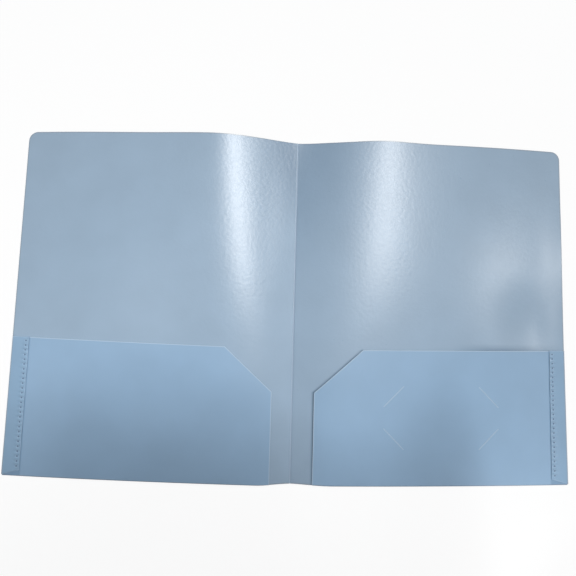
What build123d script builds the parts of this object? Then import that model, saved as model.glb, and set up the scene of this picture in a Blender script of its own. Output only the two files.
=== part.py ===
import os
from math import pi

from build123d import *

# Two pocket folder, lying open on its outer face, in millimetres.
# The crease runs along Y at X = 0, the pockets are at the -Y edge, and Z = 0 is the table.

# Sheet and covers
cover_width = 241.3  # crease to outer edge
cover_height = 298.5
sheet_thickness = 0.5
top_corner_radius = 8.0

# Spine: a flat scored strip that bends to a half circle when the folder is closed
closing_clearance = 0.2  # from the topmost layer to the fold axis
score_depth = 0.25
score_width = 1.2

# Pockets
pocket_height = 115.4  # at its outer edge
pocket_mouth_fall = 2.2  # how much lower the mouth is at its inner end
pocket_setback = 18.0  # crease to the pocket's inner edge
pocket_gap = 0.3  # room between cover and pocket for paper
pocket_cut_width = 41.0  # slanted inner corner of the mouth
pocket_cut_height = 39.1  # from the foot of the slant to the head of the outer edge
pocket_corner_radius = 1.5
pocket_edge_clearance = 0.3  # from the pocket's outer edge to the side fold

# Side tabs
tab_width = 15.5
tab_foot_gap = 1.0  # above the bottom edge, at the side fold
tab_foot_slant = 4.0  # how much higher the foot is at the tab's inner edge

# Spot welds between tab and pocket
weld_diameter = 1.6  # across the corners
weld_side_count = 8
weld_pitch = 4.0
weld_inset = 2.6  # in from the tab's inner edge
weld_end_margin = 1.2  # least distance from the tab's ends
weld_dimple_depth = 0.15
weld_fit = 0.02  # radial play of each weld in its hole

# Business card slits on the right pocket, one across each corner of the card
card_slit_length = 24.0
card_slit_width = 0.3
card_slit_span_x = 83.0  # between the middles of the left and right slits
card_slit_span_y = 35.4  # between the middles of the upper and lower slits
card_slit_angle = 45.0
card_middle_from_crease = 127.5
card_middle_above_bottom = 57.0

# Levels of the layers, radii of the folds, and the axis that the spine bends about
pocket_floor = sheet_thickness + pocket_gap
pocket_top = pocket_floor + sheet_thickness
tab_top = pocket_top + sheet_thickness
bottom_fold_radius = pocket_top / 2
side_fold_radius = tab_top / 2
fold_axis_height = tab_top + closing_clearance
hinge_width = pi * (fold_axis_height - sheet_thickness / 2)

# Lines that the outlines share
top = cover_height / 2
bottom = -cover_height / 2
hinge_edge = hinge_width / 2
bottom_fold_line = bottom + bottom_fold_radius
side_fold_line = cover_width - side_fold_radius
pocket_edge = side_fold_line - pocket_edge_clearance
pocket_head = bottom + pocket_height
tab_foot = bottom + tab_foot_gap
tab_inner_edge = cover_width - tab_width

# The row of welds, evenly spread along the tab's inner edge
weld_low = tab_foot + tab_foot_slant + weld_end_margin + weld_diameter / 2
weld_high = pocket_head - weld_end_margin - weld_diameter / 2
weld_count = int((weld_high - weld_low) / weld_pitch) + 1
weld_row_middle = (tab_inner_edge + weld_inset, (weld_low + weld_high) / 2)

# Cover: a flat panel, set back where a fold carries the sheet round
with BuildPart() as right_cover:
    with BuildSketch():
        with BuildLine():
            Polyline(
                (hinge_edge, top),
                (hinge_edge, bottom),
                (pocket_setback, bottom),
                (pocket_setback, bottom_fold_line),
                (pocket_edge, bottom_fold_line),
                (side_fold_line, tab_foot),
                (side_fold_line, pocket_head),
                (cover_width, pocket_head),
                (cover_width, top),
                close=True,
            )
        make_face()
        fillet(vertices().group_by(Axis.Y)[-1].sort_by(Axis.X)[-1], top_corner_radius)
    extrude(amount=sheet_thickness)

with BuildPart() as left_cover:
    mirror(right_cover.part, about=Plane.YZ)

# Spine hinge: the strip between the covers, scored along its middle on the inner face
with BuildPart() as spine_hinge:
    with BuildSketch():
        Rectangle(hinge_width, cover_height)
    extrude(amount=sheet_thickness)
    with BuildSketch(Plane.XZ):
        with BuildLine():
            Polyline(
                (-score_width / 2, sheet_thickness),
                (0, sheet_thickness - score_depth),
                (score_width / 2, sheet_thickness),
                close=True,
            )
        make_face()
    extrude(amount=cover_height, both=True, mode=Mode.SUBTRACT)

# Pocket: a flat panel above the cover, with its inner mouth corner cut on a slant
with BuildPart() as plain_pocket:
    with BuildSketch(Plane.XY.offset(pocket_floor)):
        with BuildLine():
            Polyline(
                (pocket_setback, bottom_fold_line),
                (pocket_edge, bottom_fold_line),
                (pocket_edge, pocket_head),
                (pocket_setback + pocket_cut_width, pocket_head - pocket_mouth_fall),
                (pocket_setback, pocket_head - pocket_cut_height),
                close=True,
            )
        make_face()
        mouth_corners = vertices().group_by(Axis.Y)[-3:-1]
        fillet([corner[0] for corner in mouth_corners], pocket_corner_radius)
    extrude(amount=sheet_thickness)

with BuildPart() as left_pocket:
    mirror(plain_pocket.part, about=Plane.YZ)

# The right pocket alone has slits that hold a business card by its corners
with BuildPart() as right_pocket:
    add(plain_pocket.part)
    with BuildSketch(Plane.XY.offset(pocket_floor)):
        for side in (-1, 1):
            for level in (-1, 1):
                slit_x = card_middle_from_crease + side * card_slit_span_x / 2
                slit_y = bottom + card_middle_above_bottom + level * card_slit_span_y / 2
                with Locations((slit_x, slit_y)):
                    Rectangle(card_slit_length, card_slit_width, rotation=-side * level * card_slit_angle)
    extrude(amount=sheet_thickness, mode=Mode.SUBTRACT)

# Bottom fold: the sheet rolled half round, from the cover up to the pocket
with BuildPart() as right_bottom_fold:
    fold_start = (pocket_setback, bottom_fold_line, bottom_fold_radius)
    with BuildSketch(Plane(fold_start, x_dir=(0, -1, 0), z_dir=(1, 0, 0))):
        Circle(bottom_fold_radius)
        Circle(bottom_fold_radius - sheet_thickness, mode=Mode.SUBTRACT)
        Rectangle(cover_width, cover_width, align=(Align.MIN, Align.CENTER), mode=Mode.INTERSECT)
    extrude(amount=pocket_edge - pocket_setback)

with BuildPart() as left_bottom_fold:
    mirror(right_bottom_fold.part, about=Plane.YZ)

# Side fold: the same roll, from the cover's outer edge up to the tab
with BuildPart() as right_side_fold:
    fold_start = (side_fold_line, tab_foot, side_fold_radius)
    with BuildSketch(Plane(fold_start, x_dir=(1, 0, 0), z_dir=(0, 1, 0))):
        Circle(side_fold_radius)
        Circle(side_fold_radius - sheet_thickness, mode=Mode.SUBTRACT)
        Rectangle(cover_width, cover_width, align=(Align.MIN, Align.CENTER), mode=Mode.INTERSECT)
    extrude(amount=pocket_head - tab_foot)

with BuildPart() as left_side_fold:
    mirror(right_side_fold.part, about=Plane.YZ)

# Side tab: the strip folded in over the pocket's outer edge, with a slanted foot and a hole for each weld
with BuildPart() as right_side_tab:
    with BuildSketch(Plane.XY.offset(pocket_top)):
        with BuildLine():
            Polyline(
                (side_fold_line, tab_foot),
                (side_fold_line, pocket_head),
                (tab_inner_edge, pocket_head),
                (tab_inner_edge, tab_foot + tab_foot_slant),
                close=True,
            )
        make_face()
        with Locations(weld_row_middle):
            with GridLocations(weld_pitch, weld_pitch, 1, weld_count):
                RegularPolygon(weld_diameter / 2, weld_side_count, mode=Mode.SUBTRACT)
    extrude(amount=sheet_thickness)

with BuildPart() as left_side_tab:
    mirror(right_side_tab.part, about=Plane.YZ)

# Spot welds: plugs of melted tab, standing on the pocket and dimpled below the tab's face
with BuildPart() as right_weld_spots:
    with BuildSketch(Plane.XY.offset(pocket_top)):
        with Locations(weld_row_middle):
            with GridLocations(weld_pitch, weld_pitch, 1, weld_count):
                RegularPolygon(weld_diameter / 2 - weld_fit, weld_side_count)
    extrude(amount=sheet_thickness - weld_dimple_depth)

with BuildPart() as left_weld_spots:
    mirror(right_weld_spots.part, about=Plane.YZ)

pieces = {
    "left_cover": left_cover,
    "right_cover": right_cover,
    "spine_hinge": spine_hinge,
    "left_pocket": left_pocket,
    "right_pocket": right_pocket,
    "left_bottom_fold": left_bottom_fold,
    "right_bottom_fold": right_bottom_fold,
    "left_side_fold": left_side_fold,
    "right_side_fold": right_side_fold,
    "left_side_tab": left_side_tab,
    "right_side_tab": right_side_tab,
    "left_weld_spots": left_weld_spots,
    "right_weld_spots": right_weld_spots,
}

os.makedirs("parts", exist_ok=True)
for name, piece in pieces.items():
    piece.part.label = name
    export_step(piece.part, f"parts/{name}.step")
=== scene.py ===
import math

import bpy
import numpy as np
from mathutils import Matrix, Vector
from mathutils.geometry import delaunay_2d_cdt


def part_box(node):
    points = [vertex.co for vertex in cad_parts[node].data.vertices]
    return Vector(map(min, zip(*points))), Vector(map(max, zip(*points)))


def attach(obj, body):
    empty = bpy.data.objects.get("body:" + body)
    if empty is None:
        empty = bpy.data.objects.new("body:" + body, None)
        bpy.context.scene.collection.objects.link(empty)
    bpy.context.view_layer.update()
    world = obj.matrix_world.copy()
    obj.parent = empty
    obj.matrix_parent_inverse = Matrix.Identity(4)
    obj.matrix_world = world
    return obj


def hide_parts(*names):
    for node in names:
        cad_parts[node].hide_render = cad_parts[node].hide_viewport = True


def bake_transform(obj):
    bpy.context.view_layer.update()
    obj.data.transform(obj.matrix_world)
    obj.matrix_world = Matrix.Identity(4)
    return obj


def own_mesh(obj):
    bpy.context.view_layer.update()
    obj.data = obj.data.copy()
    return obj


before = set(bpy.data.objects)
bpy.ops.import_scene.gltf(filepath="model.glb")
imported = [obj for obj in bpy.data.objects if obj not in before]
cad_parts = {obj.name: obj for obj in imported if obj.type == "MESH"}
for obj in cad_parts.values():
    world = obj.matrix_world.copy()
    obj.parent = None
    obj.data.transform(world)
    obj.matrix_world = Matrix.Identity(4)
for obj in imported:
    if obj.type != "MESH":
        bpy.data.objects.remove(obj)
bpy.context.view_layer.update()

# Sizes are in metres. A flat place is (distance from the crease, height on the sheet),
# so both sides share the code and the left one is mirrored.
mm = 0.001
sides = {"left": -1, "right": 1}


# Sizes that the frame gives

coverLow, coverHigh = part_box("right_cover")
pocketLow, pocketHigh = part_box("right_pocket")
tabLow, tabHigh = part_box("right_side_tab")
weldLow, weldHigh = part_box("right_weld_spots")

sheet = coverHigh[2]  # thickness of the plastic
outerEdge, bottomEdge, topEdge = coverHigh[0], coverLow[1], coverHigh[1]
pocketInner, pocketOuter = pocketLow[0], pocketHigh[0]
pocketFoot, pocketHead = pocketLow[1], pocketHigh[1]
pocketFloor, pocketTop = pocketLow[2], pocketHigh[2]
tabInner, sideFoldLine = tabLow[0], tabHigh[0]
tabFoot, tabTop = tabLow[1], tabHigh[2]
print("frame: covers", round(outerEdge / mm, 1), "mm wide, sheet", round(sheet / mm, 2), "mm")


# The bow: the sheet springs up from the crease, crests, and comes down to the outer edge

bow = {
    "left": {
        "bottom": {"crest": 29 * mm, "slopes": (0.24, 0.20, 0.54), "edge": 0.0},
        "middle": {"crest": 92 * mm, "slopes": (0.23, 0.195, 0.01), "edge": 0.0},
        "top": {"crest": 78.5 * mm, "slopes": (0.115, 0.215, 0.247), "edge": 0.0},
    },
    "right": {
        "bottom": {"crest": 34.5 * mm, "slopes": (0.20, 0.23, 0.29), "edge": 0.0},
        "middle": {"crest": 105 * mm, "slopes": (0.27, 0.095, 0.02), "edge": 0.9 * mm},
        "top": {"crest": 105 * mm, "slopes": (0.02, 0.31, 0.06), "edge": 3.3 * mm},
    },
}
# beside its outer edge the right cover swells a little, and above the pocket it has a shallow dent
swell = {
    "place": (248 * mm, 56 * mm),
    "height": 2.6 * mm,
    "width": 16 * mm,
    "length": 46 * mm,
    "drawIn": 1.1 * mm,  # how far the edge is pulled in
    "drawReach": 60 * mm,
}
dent = {
    "place": (209 * mm, -13 * mm),
    "height": -2.5 * mm,
    "width": 29 * mm,
    "length": 32 * mm,
    "edgeFade": 30 * mm,
}
# in its own plane the sheet leans: the outer bottom corners sit high, the top edge crowns at the crest
lean = {
    "corner": 3.0 * mm,
    "pivot": 0.45,  # share of the width where the bottom edge stays in place
    "dip": 1.2 * mm,  # of the top edge at the crease
    "dipReach": 24 * mm,
    "fallReach": 130 * mm,
    "crownPower": 3,  # how fast the crown fades down the sheet
    "left": {"crown": 1.7 * mm, "place": 74 * mm, "spread": 48 * mm, "fall": 0.6 * mm},
    "right": {"crown": 1.6 * mm, "place": 77 * mm, "spread": 27 * mm, "fall": 0.9 * mm},
}


def smooth(share):
    share = min(max(share, 0), 1)
    return share * share * (3 - 2 * share)


def heightShare(y):
    return (y - bottomEdge) / (topEdge - bottomEdge)


def stationLift(station, x):
    # a curve of degree 4, whose slopes are those at the crease, after it and before the level crest
    crest, (first, second, third) = station["crest"], station["slopes"]
    rises = (0, first, first + second, first + second + third, first + second + third)
    near = min(x / crest, 1)
    weights = [math.comb(4, k) * near**k * (1 - near) ** (4 - k) for k in range(5)]
    start = crest / 4 * sum(weight * rise for weight, rise in zip(weights, rises))
    far = max(x - crest, 0) / (outerEdge - crest)
    return start + (station["edge"] - crest / 4 * rises[4]) * far**2


def hump(form, x, y):
    across = (x - form["place"][0]) / form["width"]
    along = (y - form["place"][1]) / form["length"]
    return form["height"] * math.exp(-(across**2) - along**2)


def bowLift(side, x, y):
    # a parabola up the sheet through the three stations
    s = heightShare(y)
    shares = {"bottom": (1 - s) * (1 - 2 * s), "middle": 4 * s * (1 - s), "top": s * (2 * s - 1)}
    return sum(shares[station] * stationLift(bow[side][station], x) for station in shares)


def coverLift(side, x, y):
    lift = bowLift(side, x, y)
    if side == "right":
        lift += hump(swell, x, y) + hump(dent, x, y) * smooth((outerEdge - x) / dent["edgeFade"])
    return lift


def drawnIn(side, x, y):
    # the right edge is pulled in where it swells
    if side == "left":
        return x
    along = (y - swell["place"][1]) / swell["length"]
    near = smooth((x - outerEdge + swell["drawReach"]) / swell["drawReach"])
    return x - swell["drawIn"] * math.exp(-(along**2)) * near


def leaned(side, x, y):
    s, own = heightShare(y), lean[side]
    crown = own["crown"] * math.exp(-(((x - own["place"]) / own["spread"]) ** 2))
    crown -= own["fall"] * smooth(x / lean["fallReach"])
    crown -= lean["dip"] * math.exp(-((x / lean["dipReach"]) ** 2))
    tilt = lean["corner"] * (x / outerEdge - lean["pivot"]) * (1 - s)
    return y + tilt + crown * s ** lean["crownPower"]


# Mesh helpers

meshing = {
    "step": 5 * mm,
    "rim": 0.12 * mm,  # rounding of a cut edge
    "edgeBand": 0.9 * mm,
    "bandGap": 0.8,  # share of the band that its points keep from every edge
    "gridGap": 0.5,  # share of the step that the grid keeps from every edge
    "fineGap": 0.35 * mm,
    "inwardLimit": 0.5,  # least cosine that an inset corner is stretched by
    "mergeDistance": 1e-9,
    "farAway": 1.0,  # distance to a cut edge where a piece has none
    "cornerSteps": 5,
    "foldSteps": 10,
    "sharpAngle": 35,
}


def addObject(name, data):
    item = bpy.data.objects.new(name, data)
    bpy.context.collection.objects.link(item)
    return item


def arc(centre, radius, start, end, count):
    angles = [math.radians(start + (end - start) * k / count) for k in range(count + 1)]
    return [(centre[0] + radius * math.cos(a), centre[1] + radius * math.sin(a)) for a in angles]


def roundCorner(before, corner, after, radius):
    # points of the arc that rounds a corner of an outline
    a = (Vector(before) - Vector(corner)).normalized()
    b = (Vector(after) - Vector(corner)).normalized()
    half = a.angle(b) / 2
    middle = Vector(corner) + (a + b).normalized() * radius / math.sin(half)
    first = Vector(corner) + a * radius / math.tan(half) - middle
    turn = -first.angle_signed(Vector(corner) + b * radius / math.tan(half) - middle)
    count = meshing["cornerSteps"]
    return [tuple(middle + Matrix.Rotation(turn * k / count, 2) @ first) for k in range(count + 1)]


def run(points, cut):
    # marks whether the edge that starts at each point is a free cut edge
    return [(x, y, cut) for x, y in points]


def shortRuns(outline):
    loop = []
    for k, (x, y, cut) in enumerate(outline):
        nextX, nextY, _ = outline[(k + 1) % len(outline)]
        wide, high = nextX - x, nextY - y
        count = max(1, math.ceil(math.hypot(wide, high) / meshing["step"]))
        loop += [(x + wide * n / count, y + high * n / count, cut) for n in range(count)]
    return loop


def insetLoop(loop, distance):
    # the loop moved to its left, which is into the sheet
    moved = []
    for k, (x, y, _) in enumerate(loop):
        before = Vector((x - loop[k - 1][0], y - loop[k - 1][1])).normalized()
        nextX, nextY, _ = loop[(k + 1) % len(loop)]
        after = Vector((nextX - x, nextY - y)).normalized()
        normal = Vector((-before.y - after.y, before.x + after.x)).normalized()
        reach = distance / max(meshing["inwardLimit"], normal.dot(Vector((-after.y, after.x))))
        moved.append((x + normal.x * reach, y + normal.y * reach))
    return moved


def distanceTo(points, starts, ends):
    # least distance from each point to a set of straight runs
    points, starts, ends = np.array(points), np.array(starts), np.array(ends)
    if len(starts) == 0:
        return np.full(len(points), meshing["farAway"])
    along = ends - starts
    offset = points[:, None, :] - starts[None]
    share = np.clip((offset * along).sum(2) / (along**2).sum(1), 0, 1)
    return np.linalg.norm(offset - share[..., None] * along, axis=2).min(1)


def insideLoops(points, starts, ends):
    x, y = np.array(points)[:, 0, None], np.array(points)[:, 1, None]
    (ax, ay), (bx, by) = np.array(starts).T, np.array(ends).T
    height = np.where(by == ay, 1, by - ay)
    crossed = ((ay > y) != (by > y)) & (x < ax + (y - ay) * (bx - ax) / height)
    return crossed.sum(1) % 2 == 1


def keptInside(points, gap, runs, rimRuns):
    # the points that lie in the sheet and keep the gap from its edges
    clear = distanceTo(points, *runs) > gap
    inside = insideLoops(points, *rimRuns)
    return [p for p, c, i in zip(points, clear, inside) if c and i]


def innerPoints(loops, runs, rimRuns, finePoints):
    # a band beside the edges, then an even grid, then any finer points
    band = [p for loop in loops for p in insetLoop(loop, meshing["edgeBand"])]
    points = keptInside(band, meshing["bandGap"] * meshing["edgeBand"], runs, rimRuns)
    step = meshing["step"]
    xs, ys = np.array(runs[0]).T
    columns = np.arange(min(xs), max(xs), step) + step / 2
    rows = np.arange(min(ys), max(ys), step) + step / 2
    grid = [(x, y) for x in columns for y in rows]
    points += keptInside(grid, meshing["gridGap"] * step, runs, rimRuns)
    if len(finePoints):
        points += keptInside(finePoints, meshing["fineGap"], runs, rimRuns)
    return points


def turnsLeft(a, b, c):
    return (b[0] - a[0]) * (c[1] - a[1]) - (b[1] - a[1]) * (c[0] - a[0]) > 0


def panelTriangles(flat, edges, rimRuns):
    found = delaunay_2d_cdt([Vector(p) for p in flat], edges, [], 0, meshing["mergeDistance"])
    source = [ids[0] for ids in found[3]]
    triangles = [[source[k] for k in face] for face in found[2]]
    middles = [tuple(np.mean([flat[k] for k in t], axis=0)) for t in triangles]
    triangles = [t for t, inside in zip(triangles, insideLoops(middles, *rimRuns)) if inside]
    return [t if turnsLeft(*[flat[k] for k in t]) else t[::-1] for t in triangles]


def buildObject(name, side, points, faces, flat, cutDistance):
    # points are (distance from the crease, y, z), mirrored for the left side
    sign = sides[side]
    placed = []
    for x, y, z in points:
        leanSide = side if x > 0 else "left"  # the crease strip reaches over to the left
        placed.append((sign * drawnIn(side, x, y), leaned(leanSide, abs(x), y), z))
    mesh = bpy.data.meshes.new(name)
    mesh.from_pydata(placed, [], faces if sign > 0 else [f[::-1] for f in faces])
    places = mesh.attributes.new("flatPlace", "FLOAT_VECTOR", "POINT")
    places.data.foreach_set("vector", np.ravel(flat))
    distances = mesh.attributes.new("cutDistance", "FLOAT", "POINT")
    distances.data.foreach_set("value", np.array(cutDistance, float))
    mesh.shade_smooth()
    mesh.set_sharp_from_angle(angle=math.radians(meshing["sharpAngle"]))
    mesh.validate()
    return addObject(name, mesh)


def sheetPiece(name, side, outline, holes, low, high, lift, finePoints=(), holeFade=0.0):
    # a flat cut panel with its holes, real thickness and slightly rounded edges, laid over the lift
    loops = [shortRuns(loop) for loop in [outline] + holes]
    rims = [insetLoop(loop, meshing["rim"]) for loop in loops]
    starts = [p[:2] for loop in loops for p in loop]
    ends = [p[:2] for loop in loops for p in loop[1:] + loop[:1]]
    rimStarts = [p for rim in rims for p in rim]
    rimEnds = [p for rim in rims for p in rim[1:] + rim[:1]]
    flat = rimStarts + innerPoints(loops, (starts, ends), (rimStarts, rimEnds), finePoints)
    edges, first = [], 0
    for rim in rims:
        edges += [(first + k, first + (k + 1) % len(rim)) for k in range(len(rim))]
        first += len(rim)
    triangles = panelTriangles(flat, edges, (rimStarts, rimEnds))

    # top face, bottom face, and the two wall rings between them
    count, edgeCount = len(flat), len(starts)
    places = flat + flat + starts + starts
    levels = [high] * count + [low] * count
    levels += [high - meshing["rim"]] * edgeCount + [low + meshing["rim"]] * edgeCount
    points = [(x, y, z + lift(x, y)) for (x, y), z in zip(places, levels)]
    faces = triangles + [[k + count for k in t[::-1]] for t in triangles]
    for a, b in edges:
        upperA, upperB = 2 * count + a, 2 * count + b
        lowerA, lowerB = upperA + edgeCount, upperB + edgeCount
        faces.append([upperA, upperB, b, a])
        faces.append([lowerA, lowerB, upperB, upperA])
        faces.append([count + a, count + b, lowerB, lowerA])

    # how far each point is from a cut edge, with the holes fainter
    outer = len(loops[0])
    cuts = [k for k, p in enumerate(loops[0]) if p[2]]
    outlineDistance = distanceTo(places, [starts[k] for k in cuts], [ends[k] for k in cuts])
    holeDistance = distanceTo(places, starts[outer:], ends[outer:])
    cutDistance = np.minimum(outlineDistance, holeDistance + holeFade)
    flatPlaces = [(x, y, z) for (x, y), z in zip(places, levels)]
    return buildObject(name, side, points, faces, flatPlaces, cutDistance)


def sweptFaces(size, stationCount):
    # faces of a closed ring of points swept through the stations, with both ends capped
    faces = []
    for n in range(stationCount - 1):
        for k in range(size):
            a, b = n * size + k, n * size + (k + 1) % size
            faces.append([a, b, b + size, a + size])
    last = (stationCount - 1) * size
    for k in range(size // 2 - 1):
        cap = [k, size - 1 - k, size - 2 - k, k + 1]
        faces += [cap, [last + c for c in cap[::-1]]]
    return faces


def outwardFaces(piece):
    bpy.context.view_layer.objects.active = piece
    bpy.ops.object.mode_set(mode="EDIT")
    bpy.ops.mesh.select_all(action="SELECT")
    bpy.ops.mesh.normals_make_consistent(inside=False)
    bpy.ops.object.mode_set(mode="OBJECT")
    return piece


def foldPiece(name, side, radius, stations, place):
    # the sheet rolled half round, swept through the stations; place(station, out, up) gives a point
    outside = arc((0, radius), radius, -90, 90, meshing["foldSteps"])
    inside = arc((0, radius), radius - sheet, -90, 90, meshing["foldSteps"])
    ring = outside + inside[::-1]
    points = [place(s, out, up) for s in stations for out, up in ring]
    faces = sweptFaces(len(ring), len(stations))
    outermost = [radius - out for out, _ in ring] * len(stations)
    return outwardFaces(buildObject(name, side, points, faces, points, outermost))


# Pocket: sizes of its panel, which stand here because the shade on the cover follows its edges

pocket = {
    "cutWidth": 41 * mm,  # slanted inner corner of the mouth
    "cutHeight": 39.1 * mm,
    "mouthFall": 2.2 * mm,  # the mouth is lower at its inner end
    "cornerRadius": 1.5 * mm,
    "innerGape": {"left": 0.4 * mm, "right": 2.3 * mm},
    "innerReach": 85 * mm,
    "innerPower": 0.7,  # how the gape grows from the foot to the mouth
    "outerGape": {"left": 0.1 * mm, "right": 1.5 * mm},
    "outerPlace": 188 * mm,
    "outerReach": 32 * mm,
    "outerPower": 3,
}
slantFoot = Vector((pocketInner, pocketHead - pocket["cutHeight"]))
slantHead = Vector((pocketInner + pocket["cutWidth"], pocketHead - pocket["mouthFall"]))
mouthEnd = Vector((pocketOuter, pocketHead))


# Materials: one dictionary per finish. Tones are linear.

# soft shade on the right cover beside its pocket's raised edges, each run with the cover on its left
pocketShades = [
    {
        "start": Vector((pocketInner, bottomEdge)),
        "end": slantFoot,
        "width": 2.2 * mm,
        "share": 0.6,
        "fade": 1 * mm,
    },
    {
        "start": slantFoot,
        "end": slantHead,
        "width": 1.6 * mm,
        "share": 0.5,
        "fade": 1 * mm,
    },
    {
        "start": slantHead.lerp(mouthEnd, 0.6),
        "end": slantHead.lerp(mouthEnd, 0.82),
        "width": 6 * mm,
        "share": 0.5,
        "fade": 32 * mm,
    },
]
shadeTint = (0.30, 0.42, 0.52)  # share of each colour that is left where shade is painted on the sheet
# painted shade: a darker band along the covers' cut edges
coverEdgeShade = {"tone": (0.23, 0.255, 0.28), "share": 0.7, "reach": 1.4 * mm}
finishes = {
    "leftCover": {
        # painted light: a little lighter than the right cover's tone, for one sheet lit more on the left
        "tone": (0.302, 0.402, 0.512),
        "roughness": 0.26,
        "edge": coverEdgeShade,
        # painted shade: the cover is darker towards the crease, on its upper part
        "valleyShade": {"reach": 45 * mm, "share": 0.85, "from": 60 * mm},
    },
    "rightCover": {
        # painted light: a little darker than the left cover's tone, for one sheet lit less on the right
        "tone": (0.295, 0.394, 0.503),
        "roughness": 0.285,
        "edge": coverEdgeShade,
        # painted shade: the cover is darker towards the crease, growing towards the top
        "valleyShade": {"reach": 95 * mm, "share": 0.5, "from": 0.0},
        "shades": pocketShades,
    },
    "pocket": {
        "tone": (0.275, 0.41, 0.565),
        "roughness": 0.30,
        # painted highlight: a pale band along the pocket's cut edges and slits
        "edge": {"tone": (0.62, 0.72, 0.80), "share": 0.6, "reach": 0.9 * mm},
        # painted shade: a dark line on the pocket beside the tab's inner edge
        "shadeLine": {"place": tabInner, "width": 1.5 * mm, "share": 0.4, "tone": (0.09, 0.18, 0.30)},
        "grainShare": 0.4,
    },
    "tab": {
        "tone": (0.252, 0.386, 0.535),
        "roughness": 0.30,
        # painted highlight: a paler band along the tab's cut edges
        "edge": {"tone": (0.45, 0.58, 0.70), "share": 0.4, "reach": 0.9 * mm},
        # painted shade: a dark line on the tab beside the side fold
        "shadeLine": {"place": sideFoldLine, "width": 1.2 * mm, "share": 0.7, "tone": (0.31, 0.34, 0.38)},
        "grainShare": 0.4,
    },
    "fold": {
        "tone": (0.265, 0.395, 0.545),
        "roughness": 0.30,
        # painted shade: each fold is darker towards its outermost line
        "edge": {"tone": (0.17, 0.19, 0.21), "share": 0.75, "reach": 1.8 * mm},
    },
    "crease": {
        "tone": (0.295, 0.385, 0.495),
        "roughness": 0.30,
        # painted highlight: a pale line on the score's left side, stronger towards the top
        "scoreHighlight": {
            "tone": (0.55, 0.65, 0.74),
            "from": -0.3 * mm,
            "to": 0.2 * mm,
            "lowShare": 0.2,
            "highShare": 0.5,
        },
    },
    "weld": {"tone": (0.13, 0.21, 0.32), "roughness": 0.3},
}
plasticIor = 1.49
grain = {
    "pitSize": 0.25 * mm,
    "pitDepth": 0.010 * mm,
    "pitDetail": 0,
    "unevenSize": 3.0 * mm,
    "unevenDepth": 0.06 * mm,
    "unevenDetail": 1,
    "roughSpread": 0.02,
    "mottleSize": 40 * mm,
    "mottleDetail": 3,
    "mottleRange": (0.3, 0.7),
    "mottleShare": 0.03,
}


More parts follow.
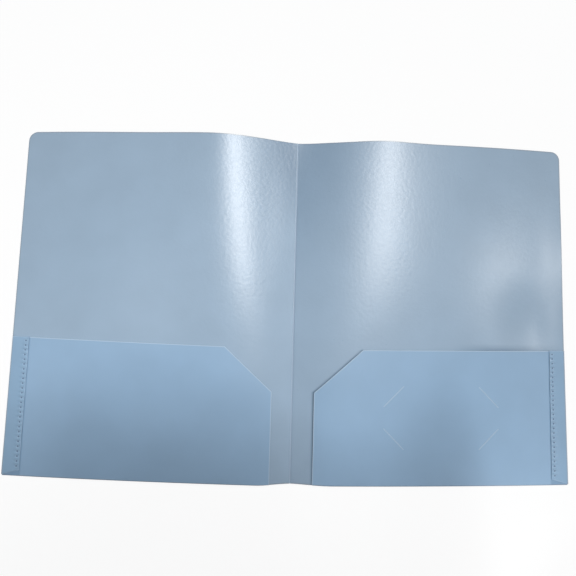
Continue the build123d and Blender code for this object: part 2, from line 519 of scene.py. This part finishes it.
def sheetMaterial(name):
    finish = finishes[name]
    material = bpy.data.materials.new(name + "Plastic")
    material.use_nodes = True
    nodes, links = material.node_tree.nodes, material.node_tree.links
    shader = nodes["Principled BSDF"]
    shader.inputs["IOR"].default_value = plasticIor

    place = nodes.new("ShaderNodeAttribute")
    place.attribute_name = "flatPlace"
    along = nodes.new("ShaderNodeSeparateXYZ")
    links.new(place.outputs["Vector"], along.inputs[0])

    def noise(size, detail):
        texture = nodes.new("ShaderNodeTexNoise")
        texture.inputs["Scale"].default_value = 1 / size
        texture.inputs["Detail"].default_value = detail
        links.new(place.outputs["Vector"], texture.inputs["Vector"])
        return texture.outputs["Fac"]

    def ramp(value, start, end, first, last, curve="LINEAR"):
        change = nodes.new("ShaderNodeMapRange")
        change.interpolation_type = curve
        limits = {"From Min": start, "From Max": end, "To Min": first, "To Max": last}
        for socket, number in limits.items():
            change.inputs[socket].default_value = number
        links.new(value, change.inputs["Value"])
        return change.outputs["Result"]

    def product(first, second):
        times = nodes.new("ShaderNodeMath")
        times.operation = "MULTIPLY"
        links.new(first, times.inputs[0])
        links.new(second, times.inputs[1])
        return times.outputs[0]

    def toned(under, tone, share):
        mix = nodes.new("ShaderNodeMix")
        mix.data_type = "RGBA"
        mix.inputs["B"].default_value = tuple(tone) + (1,)
        links.new(share, mix.inputs["Factor"])
        links.new(under, mix.inputs["A"])
        return mix.outputs["Result"]

    def distanceAlong(direction):
        dot = nodes.new("ShaderNodeVectorMath")
        dot.operation = "DOT_PRODUCT"
        dot.inputs[1].default_value = (direction.x, direction.y, 0)
        links.new(place.outputs["Vector"], dot.inputs[0])
        return dot.outputs["Value"]

    # slow change of tone over the sheet
    tone = nodes.new("ShaderNodeValToRGB")
    tints = (1 - grain["mottleShare"], 1 + grain["mottleShare"])
    for element, position, tint in zip(tone.color_ramp.elements, grain["mottleRange"], tints):
        element.position = position
        element.color = [c * tint for c in finish["tone"]] + [1]
    links.new(noise(grain["mottleSize"], grain["mottleDetail"]), tone.inputs["Fac"])
    colour = tone.outputs["Color"]

    # painted shade along the cut edges of covers and folds, painted highlight along those of pockets and
    # tabs, painted shade in the valley by the crease, beside the pocket's edges and along the shade lines,
    # and a painted highlight on the score
    paintedShadeTone = [c * share for c, share in zip(finish["tone"], shadeTint)]
    # painted light along the cut edges: shade on the covers and folds, a highlight on the pockets and tabs
    if "edge" in finish:
        edge = finish["edge"]
        cut = nodes.new("ShaderNodeAttribute")
        cut.attribute_name = "cutDistance"
        colour = toned(colour, edge["tone"], ramp(cut.outputs["Fac"], 0, edge["reach"], edge["share"], 0))
    # painted shade in the valley by the crease, growing towards the top
    if "valleyShade" in finish:
        valleyShade = finish["valleyShade"]
        across = ramp(along.outputs["X"], 0, valleyShade["reach"], valleyShade["share"], 0, "SMOOTHSTEP")
        upward = ramp(along.outputs["Y"], valleyShade["from"], topEdge, 0, 1, "SMOOTHSTEP")
        colour = toned(colour, paintedShadeTone, product(across, upward))
    for shade in finish.get("shades", []):
        start, end, fade = shade["start"], shade["end"], shade["fade"]
        ahead = (end - start).normalized()
        beside = Vector((-ahead.y, ahead.x))
        first, last, edgeLevel = ahead.dot(start), ahead.dot(end), beside.dot(start)
        far = distanceAlong(ahead)
        within = product(ramp(far, first - fade, first, 0, 1), ramp(far, last, last + fade, 1, 0))
        outside = distanceAlong(beside)
        near = ramp(outside, edgeLevel, edgeLevel + shade["width"], shade["share"], 0)
        colour = toned(colour, paintedShadeTone, product(near, within))
    # painted shade lines: on the pocket beside the tab's inner edge, on the tab beside the side fold
    if "shadeLine" in finish:
        shadeLine = finish["shadeLine"]
        shadeLineStart = shadeLine["place"] - shadeLine["width"]
        beside = ramp(along.outputs["X"], shadeLineStart, shadeLine["place"], 0, shadeLine["share"])
        colour = toned(colour, shadeLine["tone"], beside)
    # painted highlight on the score's left side
    if "scoreHighlight" in finish:
        scoreHighlight = finish["scoreHighlight"]
        across = ramp(along.outputs["X"], scoreHighlight["from"], scoreHighlight["to"], 1, 0)
        upward = ramp(along.outputs["Y"], bottomEdge, topEdge, scoreHighlight["lowShare"], scoreHighlight["highShare"])
        colour = toned(colour, scoreHighlight["tone"], product(across, upward))
    links.new(colour, shader.inputs["Base Color"])

    # embossed grain: fine pits that spread the gloss, and a slower unevenness that makes it sparkle
    grainShare = finish.get("grainShare", 1.0)
    pits = noise(grain["pitSize"], grain["pitDetail"])
    uneven = noise(grain["unevenSize"], grain["unevenDetail"])
    deepen = nodes.new("ShaderNodeMath")
    deepen.operation = "MULTIPLY"
    deepen.inputs[1].default_value = grain["pitDepth"] / mm * grainShare
    height = nodes.new("ShaderNodeMath")
    height.operation = "MULTIPLY_ADD"
    height.inputs[1].default_value = grain["unevenDepth"] / mm * grainShare
    bump = nodes.new("ShaderNodeBump")
    bump.inputs["Distance"].default_value = 1 * mm
    links.new(pits, deepen.inputs[0])
    links.new(uneven, height.inputs[0])
    links.new(deepen.outputs[0], height.inputs[2])
    links.new(height.outputs[0], bump.inputs["Height"])
    links.new(bump.outputs["Normal"], shader.inputs["Normal"])
    smoothest = finish["roughness"] - grain["roughSpread"]
    roughest = finish["roughness"] + grain["roughSpread"]
    links.new(ramp(uneven, 0, 1, smoothest, roughest), shader.inputs["Roughness"])
    return material


materials = {name: sheetMaterial(name) for name in finishes}
print("materials done")


# Every piece but the crease strip rides its half


def finishPiece(piece, side, material, node):
    piece.data.materials.append(materials[material])
    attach(piece, side + "_half")
    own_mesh(piece)
    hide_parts(node)


# Covers: one panel each side, with a rounded top corner

cover = {"cornerRadius": 8 * mm, "cornerSteps": 10, "creaseHalf": 0.9 * mm}


def coverPiece(side):
    radius = cover["cornerRadius"]
    corner = (outerEdge - radius, topEdge - radius)
    outline = run([(cover["creaseHalf"], bottomEdge)], True)
    outline += run([(pocketInner, bottomEdge), (pocketInner, pocketFoot)], False)
    outline += run([(pocketOuter, pocketFoot), (sideFoldLine, tabFoot)], False)
    outline += run([(sideFoldLine, pocketHead), (outerEdge, pocketHead)], True)
    outline += run(arc(corner, radius, 0, 90, cover["cornerSteps"]), True)
    outline += run([(cover["creaseHalf"], topEdge)], False)

    def lift(x, y):
        return coverLift(side, x, y)

    piece = sheetPiece(side + "Cover", side, outline, [], 0, sheet, lift)
    finishPiece(piece, side, side + "Cover", side + "_cover")


for side in sides:
    coverPiece(side)
print("covers done")


# Crease: the scored strip between the covers

crease = {"scoreWidth": 1.2 * mm, "scoreDepth": 0.25 * mm, "columns": 15, "step": 6 * mm}


def creasePiece():
    half = cover["creaseHalf"]
    across = [half * (2 * k / (crease["columns"] - 1) - 1) for k in range(crease["columns"])]
    ring = [(x, True) for x in across] + [(x, False) for x in across[::-1]]
    rows = math.ceil((topEdge - bottomEdge) / crease["step"])
    points, flat = [], []
    for n in range(rows + 1):
        y = bottomEdge + (topEdge - bottomEdge) * n / rows
        for x, upper in ring:
            groove = crease["scoreDepth"] * max(0, 1 - 2 * abs(x) / crease["scoreWidth"])
            level = sheet - groove if upper else 0
            points.append((x, y, level + coverLift("left" if x < 0 else "right", abs(x), y)))
            flat.append((x, y, level))
    faces = sweptFaces(len(ring), rows + 1)
    cutDistance = [meshing["farAway"]] * len(points)
    piece = outwardFaces(buildObject("creaseStrip", "right", points, faces, flat, cutDistance))
    piece.data.materials.append(materials["crease"])
    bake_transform(piece)
    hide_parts("spine_hinge")


creasePiece()
print("crease done")


# Pockets: the inner mouth corner is cut on a slant, the mouth gapes a little, and the right one has slits

cardSlits = {
    "length": 24 * mm,
    "width": 0.05 * mm,
    "spanX": 83 * mm,
    "spanY": 35.4 * mm,
    "angle": 45,
    "fade": 0.2 * mm,  # makes the painted highlight along their edges fainter than the mouth's
    "fromCrease": 127.5 * mm,
    "aboveBottom": 57 * mm,
}


def pocketGape(side, x, y):
    up = min(max((y - pocketFoot) / (pocketHead - pocketFoot), 0), 1)
    inward = smooth((pocketInner + pocket["innerReach"] - x) / pocket["innerReach"])
    outward = math.exp(-(((x - pocket["outerPlace"]) / pocket["outerReach"]) ** 2))
    inner = pocket["innerGape"][side] * up ** pocket["innerPower"] * inward
    return inner + pocket["outerGape"][side] * up ** pocket["outerPower"] * outward


def pocketLift(side, x, y):
    return bowLift(side, x, y) + pocketGape(side, x, y)


def slitLoop(x, y, angle):
    turn = Matrix.Rotation(math.radians(angle), 2)
    long, wide = cardSlits["length"] / 2, cardSlits["width"] / 2
    corners = [(-long, -wide), (-long, wide), (long, wide), (long, -wide)]
    return run([tuple(Vector((x, y)) + turn @ Vector(c)) for c in corners], True)


def slitLoops():
    loops = []
    for across in (-1, 1):
        for up in (-1, 1):
            x = cardSlits["fromCrease"] + across * cardSlits["spanX"] / 2
            y = bottomEdge + cardSlits["aboveBottom"] + up * cardSlits["spanY"] / 2
            loops.append(slitLoop(x, y, -across * up * cardSlits["angle"]))
    return loops


def pocketPiece(side):
    radius = pocket["cornerRadius"]
    outline = run([(pocketInner, pocketFoot), (pocketOuter, pocketFoot)], False)
    outline += run([(pocketOuter, pocketHead)], True)
    outline += run(roundCorner(mouthEnd, slantHead, slantFoot, radius), True)
    outline += run(roundCorner(slantHead, slantFoot, (pocketInner, pocketFoot), radius), True)
    holes = slitLoops() if side == "right" else []

    def lift(x, y):
        return pocketLift(side, x, y)

    piece = sheetPiece(
        side + "Pocket", side, outline, holes, pocketFloor, pocketTop, lift, holeFade=cardSlits["fade"]
    )
    finishPiece(piece, side, "pocket", side + "_pocket")


for side in sides:
    pocketPiece(side)
print("pockets done")


# Folds: bottom of each pocket, outer edge of each tab

fold = {"sidePress": 0.4}  # the side folds are pressed flatter than a half round


def evenStations(start, end):
    count = math.ceil((end - start) / meshing["step"])
    return [start + (end - start) * k / count for k in range(count + 1)]


def foldPieces(side):
    def bottomPlace(x, out, up):
        return x, pocketFoot - out, up + bowLift(side, x, pocketFoot)

    def sidePlace(y, out, up):
        stretch = 1 + pocketGape(side, sideFoldLine, y) / tabTop
        level = bowLift(side, sideFoldLine, y) + up * stretch
        return sideFoldLine + out * fold["sidePress"], y, level

    stations = evenStations(pocketInner, pocketOuter)
    piece = foldPiece(side + "BottomFold", side, pocketTop / 2, stations, bottomPlace)
    finishPiece(piece, side, "fold", side + "_bottom_fold")
    stations = evenStations(tabFoot, pocketHead)
    piece = foldPiece(side + "SideFold", side, tabTop / 2, stations, sidePlace)
    finishPiece(piece, side, "fold", side + "_side_fold")


for side in sides:
    foldPieces(side)
print("folds done")


# Tabs: folded in over the pocket's outer edge and spot welded to it

tab = {
    "footSlant": 4 * mm,
    "weldPitch": 4 * mm,
    "weldPoints": 12,
    "weldFit": 0.02 * mm,
    "dish": 0.22 * mm,
    "dishProfile": ((1, 0.4), (0.8, 0.4), (0.5, 0.85)),  # shares of the weld's radius and the dish's depth
    "pucker": 0.75 * mm,
    "puckerReach": 2.4 * mm,
    "puckerStep": 0.65 * mm,
}
weldRadius = (weldHigh[0] - weldLow[0]) / 2 + tab["weldFit"]
weldX = (weldHigh[0] + weldLow[0]) / 2
weldMiddle = (weldLow[1] + weldHigh[1]) / 2
weldCount = round((weldHigh[1] - weldLow[1] - 2 * weldRadius) / tab["weldPitch"]) + 1
weldYs = [weldMiddle + tab["weldPitch"] * (k - (weldCount - 1) / 2) for k in range(weldCount)]


def tabLift(side, x, y):
    # the tab is pressed down at each weld and stands up a little between them
    pitch = tab["weldPitch"]
    between = (1 - math.cos(2 * math.pi * (y - weldYs[0]) / pitch)) / 2
    within = smooth((y - weldLow[1]) / pitch) * smooth((weldHigh[1] - y) / pitch)
    beside = math.exp(-(((x - weldX) / tab["puckerReach"]) ** 2))
    return pocketLift(side, x, y) + tab["pucker"] * between * within * beside


def tabPiece(side):
    outline = run([(tabInner, tabFoot + tab["footSlant"])], True)
    outline += run([(sideFoldLine, tabFoot)], False)
    outline += run([(sideFoldLine, pocketHead), (tabInner, pocketHead)], True)
    holes = [run(arc((weldX, y), weldRadius, 360, 0, tab["weldPoints"])[:-1], True) for y in weldYs]
    step, reach = tab["puckerStep"], 2 * tab["puckerReach"]
    columns = np.arange(max(weldX - reach, tabInner), weldX + reach, step)
    fine = [(x, y) for x in columns for y in np.arange(weldLow[1], weldHigh[1], step)]

    def lift(x, y):
        return tabLift(side, x, y)

    piece = sheetPiece(side + "Tab", side, outline, holes, pocketTop, tabTop, lift, finePoints=fine)
    finishPiece(piece, side, "tab", side + "_side_tab")


def weldPiece(side):
    # each weld is a plug with a dished top, turned from a profile of (radius share, height)
    count, radius = tab["weldPoints"], weldRadius - tab["weldFit"]
    profile = [(1, pocketTop)]
    profile += [(share, tabTop - depth * tab["dish"]) for share, depth in tab["dishProfile"]]
    points, faces = [], []
    for y in weldYs:
        first = len(points)
        for share, level in profile:
            ring = arc((weldX, y), radius * share, 0, 360, count)[:-1]
            points += [(px, py, level) for px, py in ring]
        points += [(weldX, y, tabTop - tab["dish"]), (weldX, y, pocketTop)]
        top, under = len(points) - 2, len(points) - 1
        inner = first + (len(profile) - 1) * count
        for k in range(count):
            following = (k + 1) % count
            for ring in range(len(profile) - 1):
                a, b = first + ring * count + k, first + ring * count + following
                faces.append([a, b, b + count, a + count])
            faces.append([inner + k, inner + following, top])
            faces.append([first + following, first + k, under])
    lifted = [(x, y, z + pocketLift(side, x, y)) for x, y, z in points]
    cutDistance = [meshing["farAway"]] * len(points)
    piece = buildObject(side + "Welds", side, lifted, faces, points, cutDistance)
    finishPiece(piece, side, "weld", side + "_weld_spots")


for side in sides:
    tabPiece(side)
    weldPiece(side)
print("tabs done,", weldCount, "welds a side")


# Floor, world and lights

studio = {
    "floorSize": 8.0,
    "floorLevel": -0.3 * mm,
    "floorTone": (0.92, 0.92, 0.92),
    "floorRoughness": 0.9,
    "floorGlow": 0.92,
    "worldStrength": 0.1,
    "worldTone": (0.78, 0.98, 1.14),
    "backdropTone": (1, 1, 1),
}
lights = {
    "ceilingStrip": {"place": (0.80, 1.36, 4.0), "size": (0.35, 2.2), "power": 105, "gloss": True},
    "leftFill": {"place": (-0.22, 0.0, 0.40), "size": (0.2, 0.2), "power": 0.45, "gloss": False},
    "farLeftFill": {"place": (-0.45, -0.08, 0.35), "size": (0.2, 0.2), "power": 0.15, "gloss": False},
    "rightSide": {"place": (3.30, 0.48, 4.0), "size": (0.4, 0.4), "power": 27, "gloss": True},
    "lowSide": {"place": (3.00, -1.40, 2.0), "size": (0.5, 0.5), "power": 4, "gloss": True},
    "rightFill": {"place": (0.08, -0.04, 0.20), "size": (0.1, 0.1), "power": 0.028, "gloss": False},
    "cornerFill": {"place": (0.21, -0.215, 0.075), "size": (0.1, 0.1), "power": 0.042, "gloss": False},
}
# the flag is a card above the folder that shades its bottom edge:
# its corners run along its upper edge from the left, then round its foot
flag = {
    "level": 0.26,
    "corners": [
        (-0.20, -0.077),
        (-0.115, -0.020),
        (-0.046, -0.017),
        (0.003, -0.039),
        (0.032, -0.051),
        (0.081, -0.072),
        (0.121, -0.069),
        (0.15, -0.038),
        (0.178, -0.024),
        (0.197, -0.052),
        (0.213, -0.11),
        (0.222, -0.28),
        (-0.20, -0.28),
    ],
}


def seenDirectly(nodes, links):
    # 1 for camera, glossy and transmission rays
    path = nodes.new("ShaderNodeLightPath")
    total = path.outputs["Is Camera Ray"]
    for kind in ("Is Glossy Ray", "Is Transmission Ray"):
        either = nodes.new("ShaderNodeMath")
        either.operation = "MAXIMUM"
        links.new(total, either.inputs[0])
        links.new(path.outputs[kind], either.inputs[1])
        total = either.outputs[0]
    return total


def stagePanel(name, corners, level):
    mesh = bpy.data.meshes.new(name)
    mesh.from_pydata([(x, y, level) for x, y in corners], [], [list(range(len(corners)))])
    panel = addObject(name, mesh)
    return panel


def makeFloor():
    half = studio["floorSize"] / 2
    corners = [(-half, -half), (half, -half), (half, half), (-half, half)]
    floor = stagePanel("floor", corners, studio["floorLevel"])
    material = bpy.data.materials.new("paleFloor")
    material.use_nodes = True
    nodes, links = material.node_tree.nodes, material.node_tree.links
    shader = nodes["Principled BSDF"]
    shader.inputs["Base Color"].default_value = studio["floorTone"] + (1,)
    shader.inputs["Roughness"].default_value = studio["floorRoughness"]
    shader.inputs["Specular IOR Level"].default_value = 0
    glow = nodes.new("ShaderNodeEmission")
    share = nodes.new("ShaderNodeMath")
    share.operation = "MULTIPLY"
    share.inputs[1].default_value = studio["floorGlow"]
    mix = nodes.new("ShaderNodeMixShader")
    links.new(seenDirectly(nodes, links), share.inputs[0])
    links.new(share.outputs[0], mix.inputs["Fac"])
    links.new(shader.outputs["BSDF"], mix.inputs[1])
    links.new(glow.outputs["Emission"], mix.inputs[2])
    links.new(mix.outputs["Shader"], nodes["Material Output"].inputs["Surface"])
    floor.data.materials.append(material)


def makeWorld():
    world = bpy.data.worlds.new("studio")
    bpy.context.scene.world = world
    world.use_nodes = True
    nodes, links = world.node_tree.nodes, world.node_tree.links
    lit = nodes["Background"]
    lit.inputs["Color"].default_value = studio["worldTone"] + (1,)
    lit.inputs["Strength"].default_value = studio["worldStrength"]
    seen = nodes.new("ShaderNodeBackground")
    seen.inputs["Color"].default_value = studio["backdropTone"] + (1,)
    mix = nodes.new("ShaderNodeMixShader")
    links.new(seenDirectly(nodes, links), mix.inputs["Fac"])
    links.new(lit.outputs["Background"], mix.inputs[1])
    links.new(seen.outputs["Background"], mix.inputs[2])
    links.new(mix.outputs["Shader"], nodes["World Output"].inputs["Surface"])


def makeLights():
    for name, light in lights.items():
        lamp = bpy.data.lights.new(name, "AREA")
        lamp.shape = "RECTANGLE"
        lamp.size, lamp.size_y = light["size"]
        lamp.energy = light["power"]
        holder = addObject(name, lamp)
        holder.visible_camera = False
        holder.visible_glossy = light["gloss"]
        # the lamp faces the crease's middle, with its long side along the folder
        holder.location = light["place"]
        back = Vector(light["place"]).normalized()
        across = Vector((0, 1, 0)).cross(back).normalized()
        holder.rotation_euler = Matrix((across, back.cross(across), back)).transposed().to_euler()


def makeFlag():
    card = stagePanel("flag", flag["corners"], flag["level"])
    card.visible_camera = False
    card.visible_glossy = False
    card.visible_transmission = False


makeFloor()
makeWorld()
makeLights()
makeFlag()
print("floor, world and lights done")


# Camera: close above the middle of the folder

camera = {
    "place": (-32.3 * mm, -13.8 * mm, 396.9 * mm),
    "turn": (5.57, -1.96, 1.63),
    "lens": 28.125,
    "sensor": 36,
    "shift": (0.0268, -0.0196),
    "nearest": 1 * mm,
}
lens = bpy.data.cameras.new("camera")
lens.lens = camera["lens"]
lens.sensor_width = camera["sensor"]
lens.shift_x, lens.shift_y = camera["shift"]
lens.clip_start = camera["nearest"]
eye = addObject("camera", lens)
eye.location = camera["place"]
eye.rotation_euler = [math.radians(a) for a in camera["turn"]]
bpy.context.scene.camera = eye
bpy.context.scene.view_settings.view_transform = "Standard"
print("camera done")
